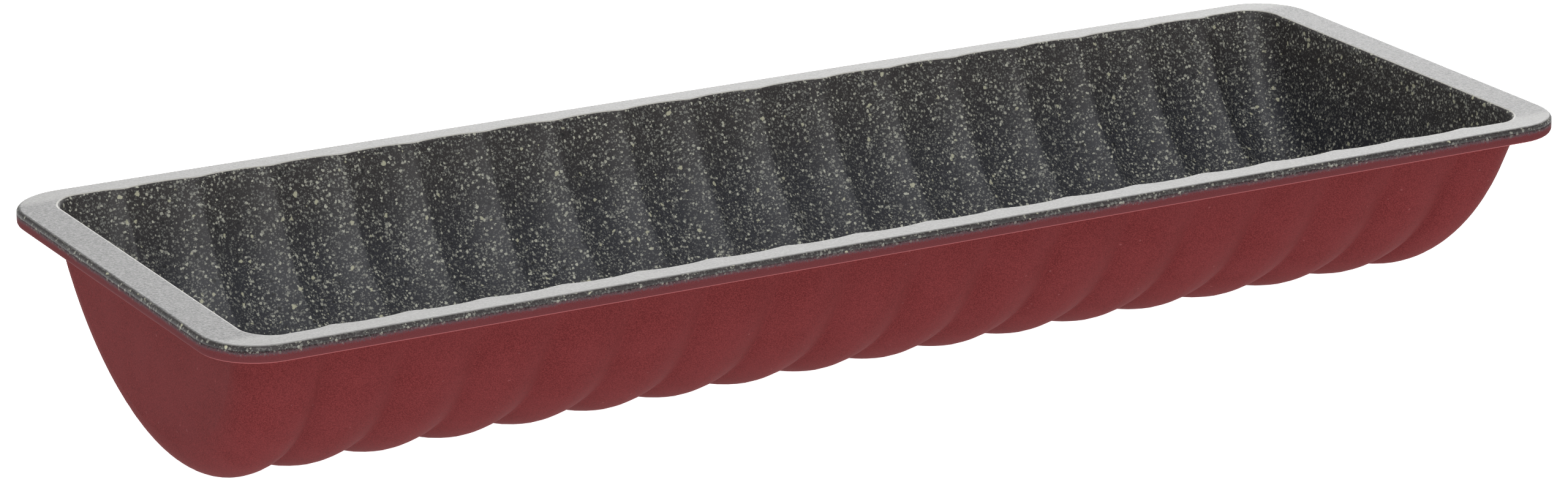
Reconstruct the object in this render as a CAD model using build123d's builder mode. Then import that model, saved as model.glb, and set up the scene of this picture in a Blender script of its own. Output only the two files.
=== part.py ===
from build123d import *
import os
from collections import namedtuple
from math import acos, atan2, cos, hypot, radians, sin, tan

# Ribbed saddle loaf mould: one cast aluminium shell under two cured coatings.
# The origin is the middle of the resting face, +Z is up and X runs along the mould.
# A "depth" is how far a surface lies under the finished, coated surface.
# An "out" is how far it lies outside the finished inner surface of the trough.

# Driving dimensions, millimetres and degrees.
height = 42.2
wall = 2.0
end_wall = 1.7
coating = 0.25

rim_length = 310.0
rim_width = 111.4
rim_thickness = 3.6
rim_corner_radius = 12.5
rim_top_round = 0.9
rim_bottom_round = 1.0
rim_inner_round = 0.9
colour_line_drop = 0.95

trough_radius = 47.1
trough_depth = 38.6
outer_crease_mouth_half_width = 49.8
inner_crease_mouth_half_width = 48.9
crest_mouth_half_width = 49.9
lobe_pitch = 16.3
full_lobes = 16
lobe_height = 2.1
end_lobe_reach = 5.4
outer_crease_share = 0.06
inner_ridge_share = 0.12

end_mouth_half_length = 146.2
end_wall_draft = 5.6
outer_end_round = 8.4
inner_end_round = 6.6

# Sizes that follow from them.
axis_height = height - trough_depth + trough_radius
half_pitch = lobe_pitch / 2
ribbed_half_length = full_lobes * half_pitch
end_crest = ribbed_half_length + end_lobe_reach
colour_line = height - colour_line_drop
margin = 4.0

# Lobes fade towards the rim, more so outside than inside.
Lobes = namedtuple("Lobes", "crease_mouth crease_share")
outer_lobes = Lobes(outer_crease_mouth_half_width, outer_crease_share)
inner_lobes = Lobes(inner_crease_mouth_half_width, inner_ridge_share)


def swell(way, share):
    """Height of a lobe, 0 to 1, part of the way from its crease to its crest."""
    if way < share:
        return share + way**2 * (1 - share) / share
    return 1 - (1 - way) ** 2


def cross_section(lobes, rise, out, top):
    """Round-bottomed section with straight sides that lean out to meet the rim."""
    radius = trough_radius + rise * lobe_height
    mouth = lobes.crease_mouth + rise * (crest_mouth_half_width - lobes.crease_mouth)
    above = axis_height - height
    lean = atan2(above, mouth) + acos(radius / hypot(mouth, above))
    foot = ((radius + out) * cos(lean), axis_height - (radius + out) * sin(lean))
    lip = (foot[0] + (top - foot[1]) * tan(lean), top)
    with BuildSketch() as section:
        with BuildLine():
            ThreePointArc((-foot[0], foot[1]), (0, axis_height - radius - out), foot)
            Polyline(foot, lip, (-lip[0], top), (-foot[0], foot[1]))
        make_face()
    return section.sketch


def stretch_of_trough(lobes, start, reach, ways, out, top):
    """Smooth stretch of trough through sections at these parts of the way to a crest."""
    with BuildPart() as stretch:
        for way in ways:
            with BuildSketch(Plane.YZ.offset(start + way * reach)):
                add(cross_section(lobes, swell(way, lobes.crease_share), out, top))
        loft()
    return stretch.part


def half_lobe(lobes, start, reach, out, top):
    """Stretch from the bottom of a crease to the crest beside it."""
    share = lobes.crease_share
    with BuildPart() as half:
        add(stretch_of_trough(lobes, start, reach, (0, share / 2, share), out, top))
        add(stretch_of_trough(lobes, start, reach, (share, (1 + share) / 2, 1), out, top))
    return half.part


def trough(lobes, out, end_out, top, end_round):
    """Solid trough this far outside the finished inside, its end walls drafted and rounded."""
    draft = radians(end_wall_draft)
    low = -margin
    half_top = end_mouth_half_length + end_out / cos(draft) - (height - top) * tan(draft)
    half_low = half_top - (top - low) * tan(draft)
    with BuildPart() as lobe:
        add(half_lobe(lobes, -half_pitch, half_pitch, out, top))
        mirror(about=Plane.YZ)
    with BuildPart() as end:
        add(half_lobe(lobes, ribbed_half_length, end_lobe_reach, out, top))
        with BuildSketch(Plane.YZ.offset(end_crest)):
            add(cross_section(lobes, 1, out, top))
        extrude(amount=rim_length / 2 - end_crest)
    with BuildPart() as solid:
        with GridLocations(lobe_pitch, 0, full_lobes, 1):
            add(lobe.part)
        add(end.part)
        add(mirror(end.part, about=Plane.YZ))
        with BuildSketch(Plane.XZ):
            Polygon((-half_low, low), (half_low, low), (half_top, top), (-half_top, top), align=None)
        extrude(amount=rim_width, both=True, mode=Mode.INTERSECT)
        walls = [solid.faces().sort_by(Axis.X)[0], solid.faces().sort_by(Axis.X)[-1]]
        fillet([e for face in walls for e in face.edges() if e.center().Z < top - 0.01], end_round)
    return solid.part


def rim_slab(depth):
    """Flat rim with rounded corners and rounded edges, without its opening."""
    with BuildPart() as slab:
        with BuildSketch(Plane.XY.offset(height - rim_thickness + depth)):
            RectangleRounded(
                rim_length - 2 * depth, rim_width - 2 * depth, rim_corner_radius - depth
            )
        extrude(amount=rim_thickness - 2 * depth)
        fillet(slab.edges().group_by(Axis.Z)[-1], rim_top_round - depth)
        fillet(slab.edges().group_by(Axis.Z)[0], rim_bottom_round - depth)
    return slab.part


def half_space(low, high):
    """Slab of space between two levels, wider than the mould."""
    with BuildPart() as slab:
        with Locations((0, 0, low)):
            Box(
                rim_length + margin,
                rim_width + margin,
                high - low,
                align=(Align.CENTER, Align.CENTER, Align.MIN),
            )
    return slab.part


def body(depth):
    """Rim and trough as one solid, with nothing hollowed out and a flat base."""
    with BuildPart() as solid:
        add(
            trough(
                outer_lobes,
                wall - depth,
                end_wall - depth,
                height - rim_thickness / 2,
                outer_end_round - depth,
            )
        )
        add(rim_slab(depth))
        add(half_space(depth, height), mode=Mode.INTERSECT)
    return solid.part


def cavity(depth, top):
    """Inside of the trough up to a level."""
    return trough(inner_lobes, depth, depth, top, inner_end_round + depth)


def hollow(depth):
    """Cavity with the space above the rim, the edge between them rounded."""
    rim_top = height - depth
    with BuildPart() as space:
        add(cavity(depth, rim_top))
        add(half_space(rim_top, height + margin))
        mouth = [
            e
            for e in space.edges().filter_by_position(Axis.Z, rim_top - 0.01, rim_top + 0.01)
            if abs(e.center().X) < rim_length / 2 - 1 and abs(e.center().Y) < rim_width / 2 - 1
        ]
        fillet(mouth, rim_inner_round - depth)
    return space.part


finished_body = body(0)
finished_hollow = hollow(0)
metal_body = body(coating)
metal_hollow = hollow(coating)

# Cast aluminium shell, the one load-bearing piece.
with BuildPart() as pan_shell:
    add(metal_body)
    add(metal_hollow, mode=Mode.SUBTRACT)

# Speckled non-stick layer over the inside, the rim's top and the upper part of its edge.
with BuildPart() as granite_coating:
    add(finished_body)
    add(half_space(colour_line, height + margin), mode=Mode.INTERSECT)
    add(cavity(coating, height - coating))
    add(pan_shell.part, mode=Mode.SUBTRACT)
    add(finished_hollow, mode=Mode.SUBTRACT)

# Dark red lacquer over the lower part of the rim's edge and the whole outside.
with BuildPart() as red_lacquer:
    add(finished_body)
    add(half_space(-margin, colour_line), mode=Mode.INTERSECT)
    add(metal_body, mode=Mode.SUBTRACT)

pan_shell.part.label = "pan_shell"
granite_coating.part.label = "granite_coating"
red_lacquer.part.label = "red_lacquer"

os.makedirs("parts", exist_ok=True)
export_step(pan_shell.part, "parts/pan_shell.step")
export_step(granite_coating.part, "parts/granite_coating.step")
export_step(red_lacquer.part, "parts/red_lacquer.step")
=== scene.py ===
from math import radians

import bpy
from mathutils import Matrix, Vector


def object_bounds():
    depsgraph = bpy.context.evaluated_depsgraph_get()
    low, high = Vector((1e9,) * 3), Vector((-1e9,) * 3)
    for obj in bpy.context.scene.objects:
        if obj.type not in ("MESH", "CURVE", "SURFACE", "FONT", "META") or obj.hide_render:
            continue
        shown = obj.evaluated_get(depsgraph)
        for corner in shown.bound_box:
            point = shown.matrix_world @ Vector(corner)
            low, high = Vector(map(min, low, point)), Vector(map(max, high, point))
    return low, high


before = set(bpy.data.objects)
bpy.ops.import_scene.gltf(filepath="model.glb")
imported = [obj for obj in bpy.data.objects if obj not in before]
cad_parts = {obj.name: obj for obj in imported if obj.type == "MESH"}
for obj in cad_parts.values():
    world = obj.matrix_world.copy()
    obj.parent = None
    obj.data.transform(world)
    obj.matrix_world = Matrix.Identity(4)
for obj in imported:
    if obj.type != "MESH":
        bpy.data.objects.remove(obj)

MM = 0.001

cad_low, cad_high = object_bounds()
rim_top = cad_high[2]
pan_centre = (Vector(cad_low) + Vector(cad_high)) / 2

# The finishes measure in millimetres.
top = rim_top / MM
half_length = cad_high[0] / MM
half_width = cad_high[1] / MM
rim_corner = 12.5
rim_edge_round = 0.9
glint_level = top - 3.42
fleck_relief = 0.05 * MM

# Colours of the speckled coating, linear.
COOL_DARK = (0.0080, 0.0088, 0.0125, 1)
COOL_LIGHT = (0.0230, 0.0240, 0.0310, 1)
WARM_DARK = (0.0120, 0.0100, 0.0100, 1)
WARM_LIGHT = (0.0300, 0.0265, 0.0265, 1)
DUST = (0.150, 0.152, 0.140, 1)
DIM_FLECK = (0.125, 0.127, 0.114, 1)
BRIGHT_FLECK = (0.440, 0.440, 0.365, 1)
CREAM_FLECK = (0.370, 0.365, 0.265, 1)
BLACK_FLECK = (0.004, 0.004, 0.005, 1)

# Colours of the rim top, linear: rubbed wear with painted glare, and a painted highlight on the inner
# edge.
RUBBED_GLARE_DARK = (0.036, 0.036, 0.036, 1)
RUBBED_GLARE_LIGHT = (0.186, 0.183, 0.178, 1)
LONG_SIDE_GLARE = (0.300, 0.296, 0.284, 1)
INNER_EDGE_HIGHLIGHT = (0.620, 0.600, 0.540, 1)

# Colours of the lacquer, linear.
RED_DARK = (0.070, 0.0124, 0.0132, 1)
RED_LIGHT = (0.135, 0.0256, 0.0264, 1)
RED_CLOUD = (0.131, 0.029, 0.031, 1)
RED_SPECK = (0.250, 0.095, 0.095, 1)
RED_HAZE = (0.082, 0.0260, 0.0290, 1)
RED_GLINT = (0.270, 0.085, 0.088, 1)
OVERSPRAY = (0.092, 0.062, 0.072, 1)


# ---------------------------------------------------------------- node helpers


class Shader:
    """A material's node tree with short calls for the nodes that every finish here uses."""

    def __init__(self, name):
        self.material = bpy.data.materials.new(name)
        self.material.use_nodes = True
        self.tree = self.material.node_tree
        self.tree.nodes.clear()
        self.output = self.tree.nodes.new("ShaderNodeOutputMaterial")
        self.surface = self.tree.nodes.new("ShaderNodeBsdfPrincipled")
        self.link(self.surface.outputs["BSDF"], self.output.inputs["Surface"])
        coordinates = self.tree.nodes.new("ShaderNodeTexCoord")
        self.point = self.scaled(coordinates.outputs["Object"], 1 / MM)

    def link(self, source, target):
        """Joins an output to an input, or sets the input to a plain value."""
        if hasattr(source, "is_output"):
            self.tree.links.new(source, target)
        else:
            target.default_value = source

    def scaled(self, vector, factor):
        node = self.tree.nodes.new("ShaderNodeVectorMath")
        node.operation = "SCALE"
        self.link(vector, node.inputs[0])
        node.inputs["Scale"].default_value = factor
        return node.outputs[0]

    def moved(self, vector, offset):
        node = self.tree.nodes.new("ShaderNodeVectorMath")
        node.operation = "ADD"
        self.link(vector, node.inputs[0])
        self.link(offset, node.inputs[1])
        return node.outputs[0]

    def math(self, operation, a, b=0.0):
        node = self.tree.nodes.new("ShaderNodeMath")
        node.operation = operation
        self.link(a, node.inputs[0])
        self.link(b, node.inputs[1])
        return node.outputs[0]

    def times(self, a, b):
        return self.math("MULTIPLY", a, b)

    def between(self, value, low, high, to_low=0.0, to_high=1.0):
        """Smooth step from to_low at low to to_high at high."""
        node = self.tree.nodes.new("ShaderNodeMapRange")
        node.interpolation_type = "SMOOTHSTEP"
        for socket, given in zip(node.inputs, (value, low, high, to_low, to_high)):
            self.link(given, socket)
        return node.outputs[0]

    def noise(self, grain, detail=2.0, roughness=0.5):
        node = self.tree.nodes.new("ShaderNodeTexNoise")
        self.link(self.point, node.inputs["Vector"])
        node.inputs["Scale"].default_value = 1 / grain
        node.inputs["Detail"].default_value = detail
        node.inputs["Roughness"].default_value = roughness
        return node

    def cells(self, spacing, vector):
        node = self.tree.nodes.new("ShaderNodeTexVoronoi")
        self.link(vector, node.inputs["Vector"])
        node.inputs["Scale"].default_value = 1 / spacing
        return node

    def mix(self, amount, first, second):
        node = self.tree.nodes.new("ShaderNodeMix")
        node.data_type = "RGBA"
        self.link(amount, node.inputs["Factor"])
        self.link(first, node.inputs["A"])
        self.link(second, node.inputs["B"])
        return node.outputs["Result"]

    def split(self, vector):
        node = self.tree.nodes.new("ShaderNodeSeparateXYZ")
        self.link(vector, node.inputs[0])
        return node.outputs

    def bump(self, height, strength, distance, normal=None):
        node = self.tree.nodes.new("ShaderNodeBump")
        node.inputs["Strength"].default_value = strength
        node.inputs["Distance"].default_value = distance
        self.link(height, node.inputs["Height"])
        if normal is not None:
            self.link(normal, node.inputs["Normal"])
        return node.outputs[0]

    def flecks(self, spacing, share, size, seed, ragged=0.35):
        """Scattered flecks: one in some share of the cells, each of its own size and ragged outline."""
        wobble = self.noise(spacing * 0.45, 2.0)
        shifted = self.moved(self.point, (seed * 7.3, seed * 3.1, seed * 5.7))
        bent = self.moved(shifted, self.scaled(wobble.outputs["Color"], spacing * ragged))
        cell = self.cells(spacing, bent)
        lot = self.split(cell.outputs["Color"])
        reach = self.between(lot[1], 0.0, 1.0, size * 0.35, size)
        inside = self.between(self.math("SUBTRACT", reach, cell.outputs["Distance"]), -0.02, 0.06)
        chosen = self.math("LESS_THAN", lot[0], share)
        return self.times(inside, chosen), lot[2]


# ---------------------------------------------------------------- finishes


def granite_layers(shader, thin=0.0):
    """Colour, grain and height of the speckled coating, with few flecks where it is thin."""
    fleck_share = shader.math("SUBTRACT", 1.0, thin)
    cloud = shader.noise(5.0, 3.0).outputs["Fac"]
    grain = shader.noise(0.30, 3.0, 0.65).outputs["Fac"]
    level = shader.split(shader.point)[2]
    warmth = shader.between(level, 0.45 * top, 0.95 * top)
    colour = shader.mix(
        shader.between(grain, 0.35, 0.65),
        shader.mix(warmth, COOL_DARK, WARM_DARK),
        shader.mix(warmth, COOL_LIGHT, WARM_LIGHT),
    )

    dust, _ = shader.flecks(0.44, share=0.85, size=0.55, seed=1, ragged=0.9)
    dusted = shader.times(dust, shader.between(cloud, 0.35, 0.65, 0.35, 0.90))
    colour = shader.mix(shader.times(dusted, fleck_share), colour, DUST)

    pale, tint = shader.flecks(0.78, share=0.72, size=0.46, seed=2, ragged=0.9)
    colour = shader.mix(
        shader.times(shader.times(pale, 0.85), fleck_share),
        colour,
        shader.mix(tint, DIM_FLECK, BRIGHT_FLECK),
    )

    cream, _ = shader.flecks(2.1, share=0.34, size=0.25, seed=3, ragged=0.6)
    colour = shader.mix(shader.times(cream, 0.9), colour, CREAM_FLECK)
    black, _ = shader.flecks(1.8, share=0.42, size=0.26, seed=4, ragged=0.7)
    colour = shader.mix(shader.times(black, 0.92), colour, BLACK_FLECK)

    raised = shader.math("ADD", shader.times(pale, 0.5), shader.times(grain, 0.8))
    raised = shader.math("SUBTRACT", raised, shader.times(black, 0.4))
    return colour, grain, raised


def rim_edge(shader):
    """One on the rim's outer edge, round its corners too, and nought further in."""
    along, across, _ = shader.split(shader.point)
    past = []
    for place, half in ((along, half_length), (across, half_width)):
        beyond = shader.math("SUBTRACT", shader.math("ABSOLUTE", place), half - rim_corner)
        past.append(shader.math("POWER", shader.math("MAXIMUM", beyond, 0.0), 2.0))
    reach = shader.math("SQRT", shader.math("ADD", past[0], past[1]))
    return shader.between(reach, rim_corner - rim_edge_round, rim_corner - rim_edge_round / 3)


def rubbed_and_glare_rim(shader, colour, rubbed_and_glare):
    """The coating's colour with the rim's flat top painted pale, partly rubbed wear and partly painted
    glare, and a painted highlight on its inner edge.
    """
    satin = shader.noise(0.55, 4.0, 0.8).outputs["Fac"]
    # The pale satin grey of the flat top is partly rubbed wear and partly painted glare.
    pale_top = shader.mix(shader.between(satin, 0.38, 0.62), RUBBED_GLARE_DARK, RUBBED_GLARE_LIGHT)

    # The long sides are painted paler than the ends: painted glare.
    along, across, level = shader.split(shader.point)
    endways = shader.math("ABSOLUTE", along)
    sideways = shader.math("ABSOLUTE", across)
    long_side_glare = shader.between(sideways, half_width - 9.0, half_width - 5.5, 0.0, 0.6)
    pale_top = shader.mix(long_side_glare, pale_top, LONG_SIDE_GLARE)
    colour = shader.mix(shader.times(rubbed_and_glare, 0.93), colour, pale_top)

    # The start of the rounding along the rim's inner edge is the palest: a painted highlight.
    inside = shader.times(
        shader.math("LESS_THAN", endways, half_length - 6.0),
        shader.math("LESS_THAN", sideways, half_width - 3.5),
    )
    edge = shader.times(
        shader.between(level, top - 0.16, top - 0.08),
        shader.between(level, top - 0.004, top - 0.012),
    )
    return shader.mix(shader.times(shader.times(inside, edge), 0.45), colour, INNER_EDGE_HIGHLIGHT)


def granite_finish():
    """Speckled coating, with the rim's flat top a pale satin grey that is partly rubbed wear and partly
    painted glare.
    """
    shader = Shader("granite_nonstick")
    colour, grain, raised = granite_layers(shader, shader.times(rim_edge(shader), 0.45))
    level = shader.split(shader.point)[2]
    rubbed_and_glare = shader.between(level, top - 0.16, top - 0.04)
    shader.link(rubbed_and_glare_rim(shader, colour, rubbed_and_glare), shader.surface.inputs["Base Color"])
    rough = shader.between(grain, 0.2, 0.8, 0.46, 0.60)
    smoother = shader.times(rubbed_and_glare, 0.13)
    shader.link(shader.math("SUBTRACT", rough, smoother), shader.surface.inputs["Roughness"])
    shader.surface.inputs["Specular IOR Level"].default_value = 0.36
    ripple = shader.noise(1.6, 2.0).outputs["Fac"]
    normal = shader.bump(ripple, 0.22, fleck_relief)
    normal = shader.bump(raised, 0.50, fleck_relief, normal)
    shader.link(normal, shader.surface.inputs["Normal"])
    return shader.material


def red_paint(shader, fine, level):
    """The lacquer's own colour, a little hazy on the rim, with a thin painted highlight line round its
    foot.
    """
    mottle = shader.noise(9.0, 3.0).outputs["Fac"]
    red = shader.mix(shader.between(fine, 0.36, 0.64), RED_DARK, RED_LIGHT)
    red = shader.mix(shader.between(mottle, 0.35, 0.65, 0.0, 0.18), red, RED_CLOUD)
    specks, _ = shader.flecks(1.9, share=0.16, size=0.16, seed=6)
    red = shader.mix(shader.times(specks, 0.30), red, RED_SPECK)
    hazed = shader.between(level, top - 3.80, top - 3.20, 0.0, 0.65)
    red = shader.mix(hazed, red, RED_HAZE)
    # A painted highlight along the rim's lower edge, where it catches the light.
    off_line = shader.math("ABSOLUTE", shader.math("SUBTRACT", level, glint_level))
    glint = shader.between(off_line, 0.20, 0.07, 0.0, 0.85)
    return shader.mix(glint, red, RED_GLINT)


def overspray(shader, red, level):
    """The red with the speckled coating feathering out over it, down the rim's edge."""
    granite, _, _ = granite_layers(shader, 0.55)
    ragged = shader.noise(0.34, 3.0, 0.75).outputs["Fac"]
    wander = shader.noise(11.0, 2.0).outputs["Fac"]
    feather = level
    for drift, swing in ((ragged, 2.0), (wander, 0.9)):
        offset = shader.times(shader.math("SUBTRACT", drift, 0.5), swing)
        feather = shader.math("ADD", feather, offset)
    dark = shader.math("POWER", shader.between(feather, top - 2.15, top - 0.80), 1.7)
    partly = shader.times(dark, shader.math("SUBTRACT", 1.0, dark))
    red = shader.mix(shader.times(partly, 3.2), red, OVERSPRAY)
    return shader.mix(dark, red, granite)


def red_finish():
    """Fine-grained matte lacquer."""
    shader = Shader("red_lacquer")
    fine = shader.noise(0.24, 3.0, 0.7).outputs["Fac"]
    level = shader.split(shader.point)[2]
    red = red_paint(shader, fine, level)
    shader.link(overspray(shader, red, level), shader.surface.inputs["Base Color"])
    shader.link(shader.between(fine, 0.2, 0.8, 0.48, 0.62), shader.surface.inputs["Roughness"])
    shader.surface.inputs["IOR"].default_value = 1.09
    shader.surface.inputs["Specular IOR Level"].default_value = 0.15
    shader.surface.inputs["Specular Tint"].default_value = (1.0, 0.40, 0.40, 1)
    orange_peel = shader.noise(1.1, 2.0).outputs["Fac"]
    normal = shader.bump(orange_peel, 0.20, 0.05 * MM)
    normal = shader.bump(fine, 0.45, 0.04 * MM, normal)
    shader.link(normal, shader.surface.inputs["Normal"])
    return shader.material


def cast_metal_finish():
    """Satin cast aluminium, which the coatings hide."""
    shader = Shader("cast_metal")
    grain = shader.noise(0.5, 3.0, 0.6).outputs["Fac"]
    shader.link(
        shader.mix(shader.between(grain, 0.3, 0.7), (0.50, 0.50, 0.51, 1), (0.66, 0.66, 0.67, 1)),
        shader.surface.inputs["Base Color"],
    )
    shader.surface.inputs["Metallic"].default_value = 1.0
    shader.link(shader.between(grain, 0.2, 0.8, 0.38, 0.52), shader.surface.inputs["Roughness"])
    shader.link(shader.bump(grain, 0.4, 0.05 * MM), shader.surface.inputs["Normal"])
    return shader.material


def floor_finish():
    """Pale matte floor that also glows, so that it lights the underside and shows no grey shadow."""
    shader = Shader("pale_floor")
    drift = shader.noise(140.0, 2.0).outputs["Fac"]
    shader.link(
        shader.mix(shader.between(drift, 0.3, 0.7), (0.86, 0.86, 0.86, 1), (0.88, 0.88, 0.88, 1)),
        shader.surface.inputs["Base Color"],
    )
    shader.surface.inputs["Roughness"].default_value = 0.9
    shader.surface.inputs["Specular IOR Level"].default_value = 0.0
    shader.surface.inputs["Emission Color"].default_value = (1, 1, 1, 1)
    shader.surface.inputs["Emission Strength"].default_value = 1.15
    return shader.material


def dress(node_name, material):
    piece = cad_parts[node_name]
    piece.data.materials.clear()
    piece.data.materials.append(material)


# ---------------------------------------------------------------- stage


def floor():
    half = 4.0
    mesh = bpy.data.meshes.new("floor")
    corners = [(-half, -half, 0), (half, -half, 0), (half, half, 0), (-half, half, 0)]
    mesh.from_pydata(corners, [], [(0, 1, 2, 3)])
    sheet = bpy.data.objects.new("floor", mesh)
    sheet.location.z = cad_low[2]
    mesh.materials.append(floor_finish())
    bpy.context.scene.collection.objects.link(sheet)


def softbox(name, place, width, height, power):
    """Rectangular lamp in metres and watts, turned towards the pan."""
    lamp = bpy.data.lights.new(name, "AREA")
    lamp.shape = "RECTANGLE"
    lamp.size = width
    lamp.size_y = height
    lamp.energy = power
    holder = bpy.data.objects.new(name, lamp)
    holder.location = place
    holder.rotation_euler = (pan_centre - Vector(place)).to_track_quat("-Z", "Y").to_euler()
    bpy.context.scene.collection.objects.link(holder)


def backdrop():
    """White world, at full strength near the horizon and dimmer overhead."""
    world = bpy.data.worlds.new("studio")
    world.use_nodes = True
    tree = world.node_tree
    background = tree.nodes["Background"]
    background.inputs["Color"].default_value = (1, 1, 1, 1)
    direction = tree.nodes.new("ShaderNodeTexCoord")
    parts = tree.nodes.new("ShaderNodeSeparateXYZ")
    fall = tree.nodes.new("ShaderNodeMapRange")
    fall.interpolation_type = "SMOOTHSTEP"
    for socket, value in zip(fall.inputs[1:5], (0.03, 0.40, 1.0, 0.42)):
        socket.default_value = value
    tree.links.new(direction.outputs["Generated"], parts.inputs[0])
    tree.links.new(parts.outputs["Z"], fall.inputs["Value"])
    tree.links.new(fall.outputs["Result"], background.inputs["Strength"])
    bpy.context.scene.world = world


def studio():
    """White backdrop with three soft boxes."""
    backdrop()
    softbox("key_box", (-0.52, -1.10, 1.25), 0.8, 0.8, 18)
    softbox("top_box", (0.1, 0.3, 1.7), 1.6, 1.6, 6)
    softbox("back_box", (1.25, 1.6, 0.62), 1.8, 0.9, 18)
    bpy.context.scene.view_settings.view_transform = "Standard"


def camera():
    """Long lens, 1.2 m off, looking down over the mould's left front corner."""
    turn, tilt = radians(-29.52), radians(90 - 17.80)
    lens = bpy.data.cameras.new("camera")
    lens.sensor_width = 36
    lens.lens = 130.25
    holder = bpy.data.objects.new("camera", lens)
    holder.location = (-0.5534, -0.9688, rim_top + 0.3402)
    holder.rotation_euler = (tilt, 0, turn)
    bpy.context.scene.collection.objects.link(holder)
    bpy.context.scene.camera = holder


dress("granite_coating", granite_finish())
dress("red_lacquer", red_finish())
dress("pan_shell", cast_metal_finish())
floor()
studio()
camera()
